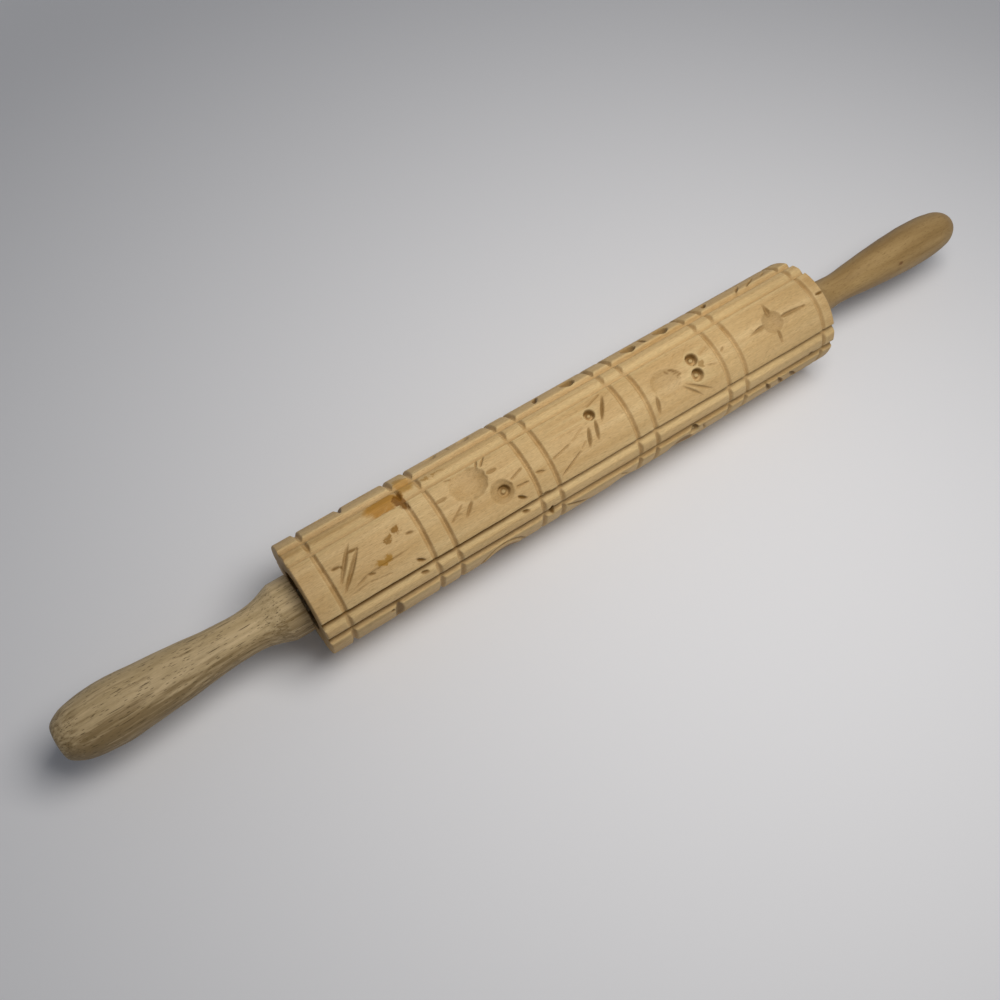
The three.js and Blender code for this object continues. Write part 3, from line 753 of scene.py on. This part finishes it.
# the grooves are darkest in the near half: dirt and painted shade
near_half_darkening = 1 - 0.6 * ease(along, 60, 150)
soil = np.zeros_like(depth)
pale = np.zeros_like(depth)
for sector in range(sector_count):
    panel_start = first_panel - panel_angle / 2 + sector * sector_angle
    edges = (panel_start, panel_start + panel_angle)
    grooves = zip(edges, (-1, 1), strays[sector], groove_dirt_and_shade[sector])
    for edge, to_panel, (near_stray, far_stray), dirt_and_shade in grooves:
        stray = near_stray + (far_stray - near_stray) * along / roller_length
        stray = stray + wander * slow_wave(along, 7 * edge)
        share = to_panel * (turn_from(edge)[None, :] - stray[:, None]) / rail_groove_width
        groove = np.minimum(share / steep_share, (1 - share) / (1 - steep_share))
        depth = np.maximum(depth, rail_groove_depth * groove)
        # the groove floors are darkened: dirt and painted shade
        soil = np.maximum(soil, dirt_and_shade * near_half_darkening[:, None] * ease(groove, 0.4, 0.95))
        # the middle of each groove's broad wall is painted paler: painted light
        pale = np.maximum(pale, (share > steep_share) * ease(groove, 0, 0.2) * ease(groove, 0.9, 0.6))
for start, length in panels:
    for place in (start, start + length):
        ring_wander = wander * (np.sin(2 * angles + place) + 0.5 * np.sin(5 * angles + 2 * place))
        beside = np.abs(along[:, None] - place + ring_wander[None, :]) * 2 / ring_groove_width
        groove = 1 - beside ** 1.5
        depth = np.maximum(depth, ring_groove_depth * groove)
        # the ring grooves are darkened a little: dirt and painted shade
        soil = np.maximum(soil, 0.14 * ease(groove, 0, 0.9))
        pale *= 1 - ease(groove, 0, 0.5)
framed = depth.copy()
print("grooves reach", round(float(framed.max()), 2), "mm deep")

# %% [markdown]
# A mark is long, such as a leaf cut or a scored line, or round, such as a bowl or a drilled eye.
# One function for each says how deep the mark goes around its middle. Where it gives less than
# nothing, the mark leaves the wood alone.

# %% Depth of one mark
cut_slope, deepest_cut, leaf_power = 1.25, 2.6, 0.65
line_slope = 2.6
nick_depth, nick_wall = 0.7, 0.3
bowl_share, bowl_power, flute_share = 1.12, 0.75, 0.022
ring_depth, ring_slope = 1.1, 1.4
eye_depth = 2.6
eye_shares = [(0, 0.68), (0.09, 0.62), (0.16, 0.42), (0.28, 0.46), (0.42, 0.93), (0.56, 1), (0.88, 0.97),
              (0.97, 0.4), (1.05, 0)]


def long_mark_depth(shape, x, y, length):
    """Depth of a leaf cut, a line or a nick, at places in mm from its middle."""
    u0, v0, u1, v1 = shape["ends"]
    dx, dy = (u1 - u0) * length, (v1 - v0) * panel_width
    long = math.hypot(dx, dy)
    t = np.clip((x * dx + y * dy) / long ** 2 + 0.5, 0, 1)
    off = (y * dx - x * dy) / long
    half = shape["width"] * panel_width / 2
    if shape["kind"] == "cut":
        half = half * np.sin(math.pi * t ** (math.log(0.5) / math.log(shape["belly"]))) ** leaf_power
        one_wall, other_wall = (half - off) / (1 + shape["lean"]), (half + off) / (1 - shape["lean"])
        return deepest_cut * np.tanh(cut_slope / deepest_cut * np.minimum(one_wall, other_wall))
    if shape["kind"] == "line":
        half = half * np.clip(np.minimum(t, 1 - t) * 6, 0, 1)
        return line_slope * (half - np.abs(off))
    half = half * (1 - np.abs(2 * t - 1) ** 3)
    return nick_depth * np.clip((half - np.abs(off)) / nick_wall, -1, 1)


def round_mark_depth(shape, x, y):
    """Depth of a bowl, an eye or a ring, at places in mm from its middle."""
    half_x, half_y = (share * panel_width for share in shape["half"])
    out = np.hypot(x / half_x, y / half_y)
    if shape["kind"] == "dish":
        if shape["flutes"]:
            turned = np.arctan2(y / half_y, x / half_x)
            out = out * (1 + flute_share * np.cos(shape["flutes"] * turned))
        bowl = np.clip(1 - out ** 2, 0, 1) * (1 + shape["lean"] * x / half_x)
        return shape["deep"] * half_y * bowl_share * bowl ** bowl_power
    if shape["kind"] == "drill":
        return eye_depth * np.interp(out, *zip(*eye_shares))
    return ring_depth - ring_slope * half_x * np.abs(out - 1)


# %% Marks of the pictures
for sector, row in enumerate(sector_pictures):
    panel_start = first_panel - panel_angle / 2 + sector * sector_angle
    for (start, length), picture in zip(panels, row):
        for shape in picture:
            if "ends" in shape:
                u0, v0, u1, v1 = shape["ends"]
                u, v, reach_mm = (u0 + u1) / 2, (v0 + v1) / 2, abs(u1 - u0) / 2 * length + 2
                reach_mm += shape["width"] * panel_width / 2
            else:
                (u, v), reach_mm = shape["at"], shape["half"][0] * panel_width * 1.2 + 1
            middle = start + u * length
            rows = slice(*np.searchsorted(along, (middle - reach_mm, middle + reach_mm)))
            x = along[rows, None] - middle
            y = turn_from(panel_start + v * panel_angle)[None, :]
            if "ends" in shape:
                mark_depth = long_mark_depth(shape, x, y, length)
            else:
                mark_depth = round_mark_depth(shape, x, y)
            cover = ease(mark_depth, 0.03, 0.5)
            # the marks are darkened: dirt, and painted shade in cuts, lines, dishes and eyes
            dirt_and_shade = shape["dirt_and_shade"] * cover
            if shape["kind"] == "nick":
                mark_depth = framed[rows] + mark_depth
            if shape["kind"] == "drill":
                # the upper, far wall of a drilled eye is painted darkest: a painted shadow
                radius = shape["half"][0] * panel_width
                dirt_and_shade = dirt_and_shade * (0.5 + 1.3 * ease(0.6 * x / radius - 0.8 * y / radius, -0.2, 0.6))
            depth[rows] = np.maximum(depth[rows], mark_depth)
            soil[rows] = np.maximum(soil[rows], dirt_and_shade)
            pale[rows] *= 1 - cover

depth = np.maximum(depth, 0)
# the two ends are darker towards each rim
near_end_darker = ease(along, 42, 8)
far_end_darker = ease(along, roller_length - 45, roller_length - 12)
ends_darker = np.maximum(0.14 * near_end_darker, 0.14 * far_end_darker)
soil = soil + ends_darker[:, None] * (1 - soil)


def blurred(field, passes, share):
    """The field with each point moved towards its four neighbours, pass by pass."""
    field = field.copy()
    for _ in range(passes):
        field += share * (np.roll(field, 1, axis=1) + np.roll(field, -1, axis=1) - 2 * field)
        field[1:-1] += share * (field[2:] + field[:-2] - 2 * field[1:-1])
    return field


# %% Wear
depth = blurred(depth, 1, 0.12)
soil = blurred(soil, 2, 0.2)
pale = blurred(pale, 2, 0.2)
hollow = depth - blurred(depth, 20, 0.25)
print("deepest cut", round(float(depth.max()), 2), "mm, hollow from",
      round(float(hollow.min()), 2), "to", round(float(hollow.max()), 2))

# %% [markdown]
# ## The roller's mesh
# The carved skin is joined with the end faces, the two counterbores for the bushes and the
# bore for the rod, so that the roller is one closed body. A collapse then drops the points
# that the smooth parts don't need and keeps those on the edges of the cuts.

# %% Roller mesh
counterbore_radius, counterbore_depth, bore_radius = 12.75, 14, 8
edge_break = 0.25
face_ring_radius = 18
over_rim = np.maximum(0, rim_round - np.minimum(along, roller_length - along))
limit = roller_radius - rim_round + np.sqrt(np.maximum(rim_round ** 2 - over_rim ** 2, 0))
skin = np.minimum(limit[:, None], roller_radius - depth)
back = [
    (face_ring_radius, roller_length), (counterbore_radius + edge_break, roller_length),
    (counterbore_radius, roller_length - edge_break),
    (counterbore_radius, roller_length - counterbore_depth + edge_break),
    (counterbore_radius - edge_break, roller_length - counterbore_depth),
    (bore_radius + edge_break, roller_length - counterbore_depth),
    (bore_radius, roller_length - counterbore_depth - edge_break),
]
back += [(radius, roller_length - place) for radius, place in reversed(back)]
inside = np.repeat(np.array([radius for radius, _ in back])[:, None], side_count, axis=1)
places = np.concatenate([along, [place for _, place in back]])
radii = np.vstack([skin, inside])
grid = np.stack([
    np.repeat((roller_start + places)[:, None], side_count, axis=1),
    -radii * np.sin(angles),
    axis_height + radii * np.cos(angles),
], axis=-1)
roller_mesh = grid_mesh("roller_carved", grid[:, ::-1])
# Inside the ends the darkening is fixed at one half: painted shade on the end faces, counterbores and bore.
for name, field, inner_value in (("hollow", hollow, 0), ("soil", soil, 0.5), ("pale", pale, 0)):
    of_points = np.vstack([field, np.full((len(back), side_count), inner_value)])[:, ::-1]
    store = roller_mesh.attributes.new(name, "FLOAT", "POINT")
    store.data.foreach_set("value", of_points.astype(np.float32).ravel())
print("roller grid:", len(roller_mesh.polygons), "faces")

# %% [markdown]
# ## Wood of the roller
# Springerle rollers are made of beech: pale, warm and even, with fine dark flecks a few
# millimetres long. The flour, oil and hands of years have left it satin and left a few orange
# stains near one end. The cuts, grooves and end faces are darkened, partly by dirt and partly
# as painted shade, and the broad walls of the rail grooves are painted paler as painted light.

# %% Carved beech


def carved_beech():
    material, tree, shader, mm = new_material("carved_beech_oiled")
    band_place = add(tree, "Mapping", None, {"Vector": mm, "Scale": (0.007, 0.16, 0.16)})
    band = add(tree, "TexNoise", None,
               {"Vector": band_place.outputs[0], "Scale": 1.0, "Detail": 5.0, "Roughness": 0.6})
    tone = add(tree, "ValToRGB", None, {"Fac": band.outputs["Fac"]})
    for stop, place, shade in zip(tone.color_ramp.elements, (0.3, 0.7), ("#b99764", "#d4b787")):
        stop.position, stop.color = place, linear(shade)

    # Flecks: 0.25 mm wide and 2 mm long.
    fleck_place = add(tree, "Mapping", None, {"Vector": mm, "Scale": (0.5, 3.6, 3.6)})
    fleck = add(tree, "TexNoise", None, {"Vector": fleck_place.outputs[0], "Scale": 1.0, "Detail": 1.5})
    fleck_mask = add(tree, "MapRange", smooth_step,
                     {"Value": fleck.outputs["Fac"], "From Min": 0.56, "From Max": 0.72, "To Max": 0.5})
    flecked = add(tree, "Mix", of_colours,
                  {"Factor": fleck_mask.outputs[0], 6: tone.outputs[0], 7: linear("#98794a")})

    # The cuts and ends are darkened: dirt and painted shade. The broad groove walls are painted
    # paler: painted light. Hands polish the crests.
    dirt_and_painted_shade_here, hollow_here, painted_wall_light_here = (
        add(tree, "Attribute", {"attribute_name": name}).outputs["Fac"]
        for name in ("soil", "hollow", "pale"))
    painted_wall_light_share = add(tree, "Math", {"operation": "MULTIPLY"}, {0: painted_wall_light_here, 1: 0.3})
    wall_lit_colour = add(tree, "Mix", of_colours,
                {"Factor": painted_wall_light_share.outputs[0], 6: flecked.outputs[2], 7: linear("#dfca96")})
    dirt_and_shade_colour = add(tree, "Mix", of_colours,
                 {"Factor": dirt_and_painted_shade_here, 6: wall_lit_colour.outputs[2], 7: linear("#694812")})
    crest_mask = add(tree, "MapRange", smooth_step,
                     {"Value": hollow_here, "From Min": -0.1, "From Max": -0.5, "To Max": 0.35})
    polished = add(tree, "Mix", of_colours,
                   {"Factor": crest_mask.outputs[0], 6: dirt_and_shade_colour.outputs[2], 7: linear("#d2bd8c")})

    # Stains: place along the roller, angle, half length, half width, colour and strength.
    stains = [
        (43, -16, 10, 4.5, "#a97a30", 0.92), (53.5, -28, 4.5, 6, "#b0843c", 0.8),
        (49, -9, 2.4, 5.5, "#744a0c", 0.85), (31, 32.5, 4, 2, "#a0762c", 0.9),
        (40.5, 13, 2, 2.4, "#875f1e", 0.9), (36.5, 18, 1.6, 2.4, "#8a6426", 0.85),
        (64, -17.5, 7, 0.9, "#a07a40", 0.7), (186, 24, 2, 2, "#94703c", 0.7),
    ]
    warp = add(tree, "TexNoise", None, {"Vector": mm, "Scale": 0.28, "Detail": 3.0, "Roughness": 0.6})
    warp_mm = add(tree, "VectorMath", {"operation": "MULTIPLY_ADD"},
                  {0: warp.outputs["Color"], 1: (7, 7, 7), 2: (-3.5, -3.5, -3.5)})
    warped = add(tree, "VectorMath", {"operation": "ADD"}, {0: mm, 1: warp_mm.outputs[0]})
    colour = polished.outputs[2]
    for place, degrees, half_long, half_wide, hex_colour, strength in stains:
        angle = math.radians(degrees)
        centre = (roller_start + place, -roller_radius * math.sin(angle),
                  axis_height + roller_radius * math.cos(angle))
        offset = add(tree, "VectorMath", {"operation": "SUBTRACT"}, {0: warped.outputs[0], 1: centre})
        scaled = add(tree, "VectorMath", {"operation": "DIVIDE"},
                     {0: offset.outputs[0], 1: (half_long, half_wide, half_wide)})
        out = add(tree, "VectorMath", {"operation": "LENGTH"}, {0: scaled.outputs[0]})
        mask = add(tree, "MapRange", smooth_step,
                   {"Value": out.outputs["Value"], "From Min": 1.1, "From Max": 0.6, "To Max": strength})
        stained = add(tree, "Mix", of_colours,
                      {"Factor": mask.outputs[0], 6: colour, 7: linear(hex_colour)})
        colour = stained.outputs[2]

    # Fibres: threads a few millimetres long that catch a little more or less light.
    fibre_place = add(tree, "Mapping", None, {"Vector": mm, "Scale": (0.4, 2.6, 2.6)})
    fibre = add(tree, "TexNoise", None,
                {"Vector": fibre_place.outputs[0], "Scale": 1.0, "Detail": 4.0, "Roughness": 0.75})
    thread = add(tree, "MapRange", None,
                 {"Value": fibre.outputs["Fac"], "From Min": 0.3, "From Max": 0.7,
                  "To Min": 0.84, "To Max": 1.16})
    fibred = add(tree, "VectorMath", {"operation": "SCALE"}, {0: colour, "Scale": thread.outputs[0]})
    tree.links.new(fibred.outputs[0], shader.inputs["Base Color"])

    bump = add(tree, "Bump", None,
               {"Height": fleck.outputs["Fac"], "Strength": 0.25, "Distance": 0.08 * MM})
    tree.links.new(bump.outputs[0], shader.inputs["Normal"])
    shader.inputs["Roughness"].default_value = 0.58
    shader.inputs["IOR"].default_value = 1.5
    shader.inputs["Specular IOR Level"].default_value = 0.15
    return material


carved = put_in_scene(roller_mesh, "roller_carved", "roller", carved_beech(), "roller")
slim = carved.modifiers.new("slim", "DECIMATE")
slim.ratio = 0.22
print("roller in place")

# %% [markdown]
# ## Rod and bushes
# A plain birch dowel carries the roller. Two short bushes sit in the roller's counterbores,
# and the rod turns in them. They are coloured near black as painted shade for the deep gap
# at each end of the roller. Little of either shows, so their look is simple.

# %% Rod and bushes


def plain_material(name, colour, roughness):
    material, tree, shader, mm = new_material(name)
    place = add(tree, "Mapping", None, {"Vector": mm, "Scale": (0.05, 1.2, 1.2)})
    grain = add(tree, "TexNoise", None, {"Vector": place.outputs[0], "Scale": 1.0, "Detail": 3.0})
    shade = add(tree, "MapRange", None, {"Value": grain.outputs["Fac"], "To Min": 0.78, "To Max": 1.12})
    tinted = add(tree, "VectorMath", {"operation": "SCALE"},
                 {0: linear(colour)[:3], "Scale": shade.outputs[0]})
    tree.links.new(tinted.outputs[0], shader.inputs["Base Color"])
    shader.inputs["Roughness"].default_value = roughness
    return material


def ring_profile(inner, outer, first, last, edge):
    """A ring's profile: up the bore's start, along the outside and back through the bore."""
    return [(inner, first), (outer - edge, first), (outer, first + edge), (outer, last - edge),
            (outer - edge, last), (inner, last)]


birch = plain_material("birch_dowel", "#c4aa80", 0.6)
# the bushes are near black: painted shade for the gap at each end
bush_painted_shade_black = plain_material("bush_painted_shade_black", "#161412", 0.6)
rod_start, rod_end = reach("axle_rod")
rod_edge, bush_edge, running_gap = 0.8, 0.7, 0.3
rod_sides, bush_sides = 64, 96
rod_mesh = turn("axle_rod_turned", [
    (0, rod_start), (rod_radius - rod_edge, rod_start), (rod_radius, rod_start + rod_edge),
    (rod_radius, rod_end - rod_edge), (rod_radius - rod_edge, rod_end), (0, rod_end)], rod_sides)
put_in_scene(rod_mesh, "axle_rod_turned", "rod_and_handles", birch, "axle_rod")
for node_name in ("bush_near", "bush_far"):
    first, last = reach(node_name)
    print(node_name, "from", round(first, 2), "to", round(last, 2), "mm")
    low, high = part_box(node_name)
    bush_mesh = turn(node_name + "_turned", ring_profile(
        rod_radius + running_gap, (high.z - low.z) / MM / 2, first, last, bush_edge), bush_sides)
    put_in_scene(bush_mesh, node_name + "_turned", "roller", bush_painted_shade_black, node_name)
print("rod", round(rod_end - rod_start, 1), "mm long")
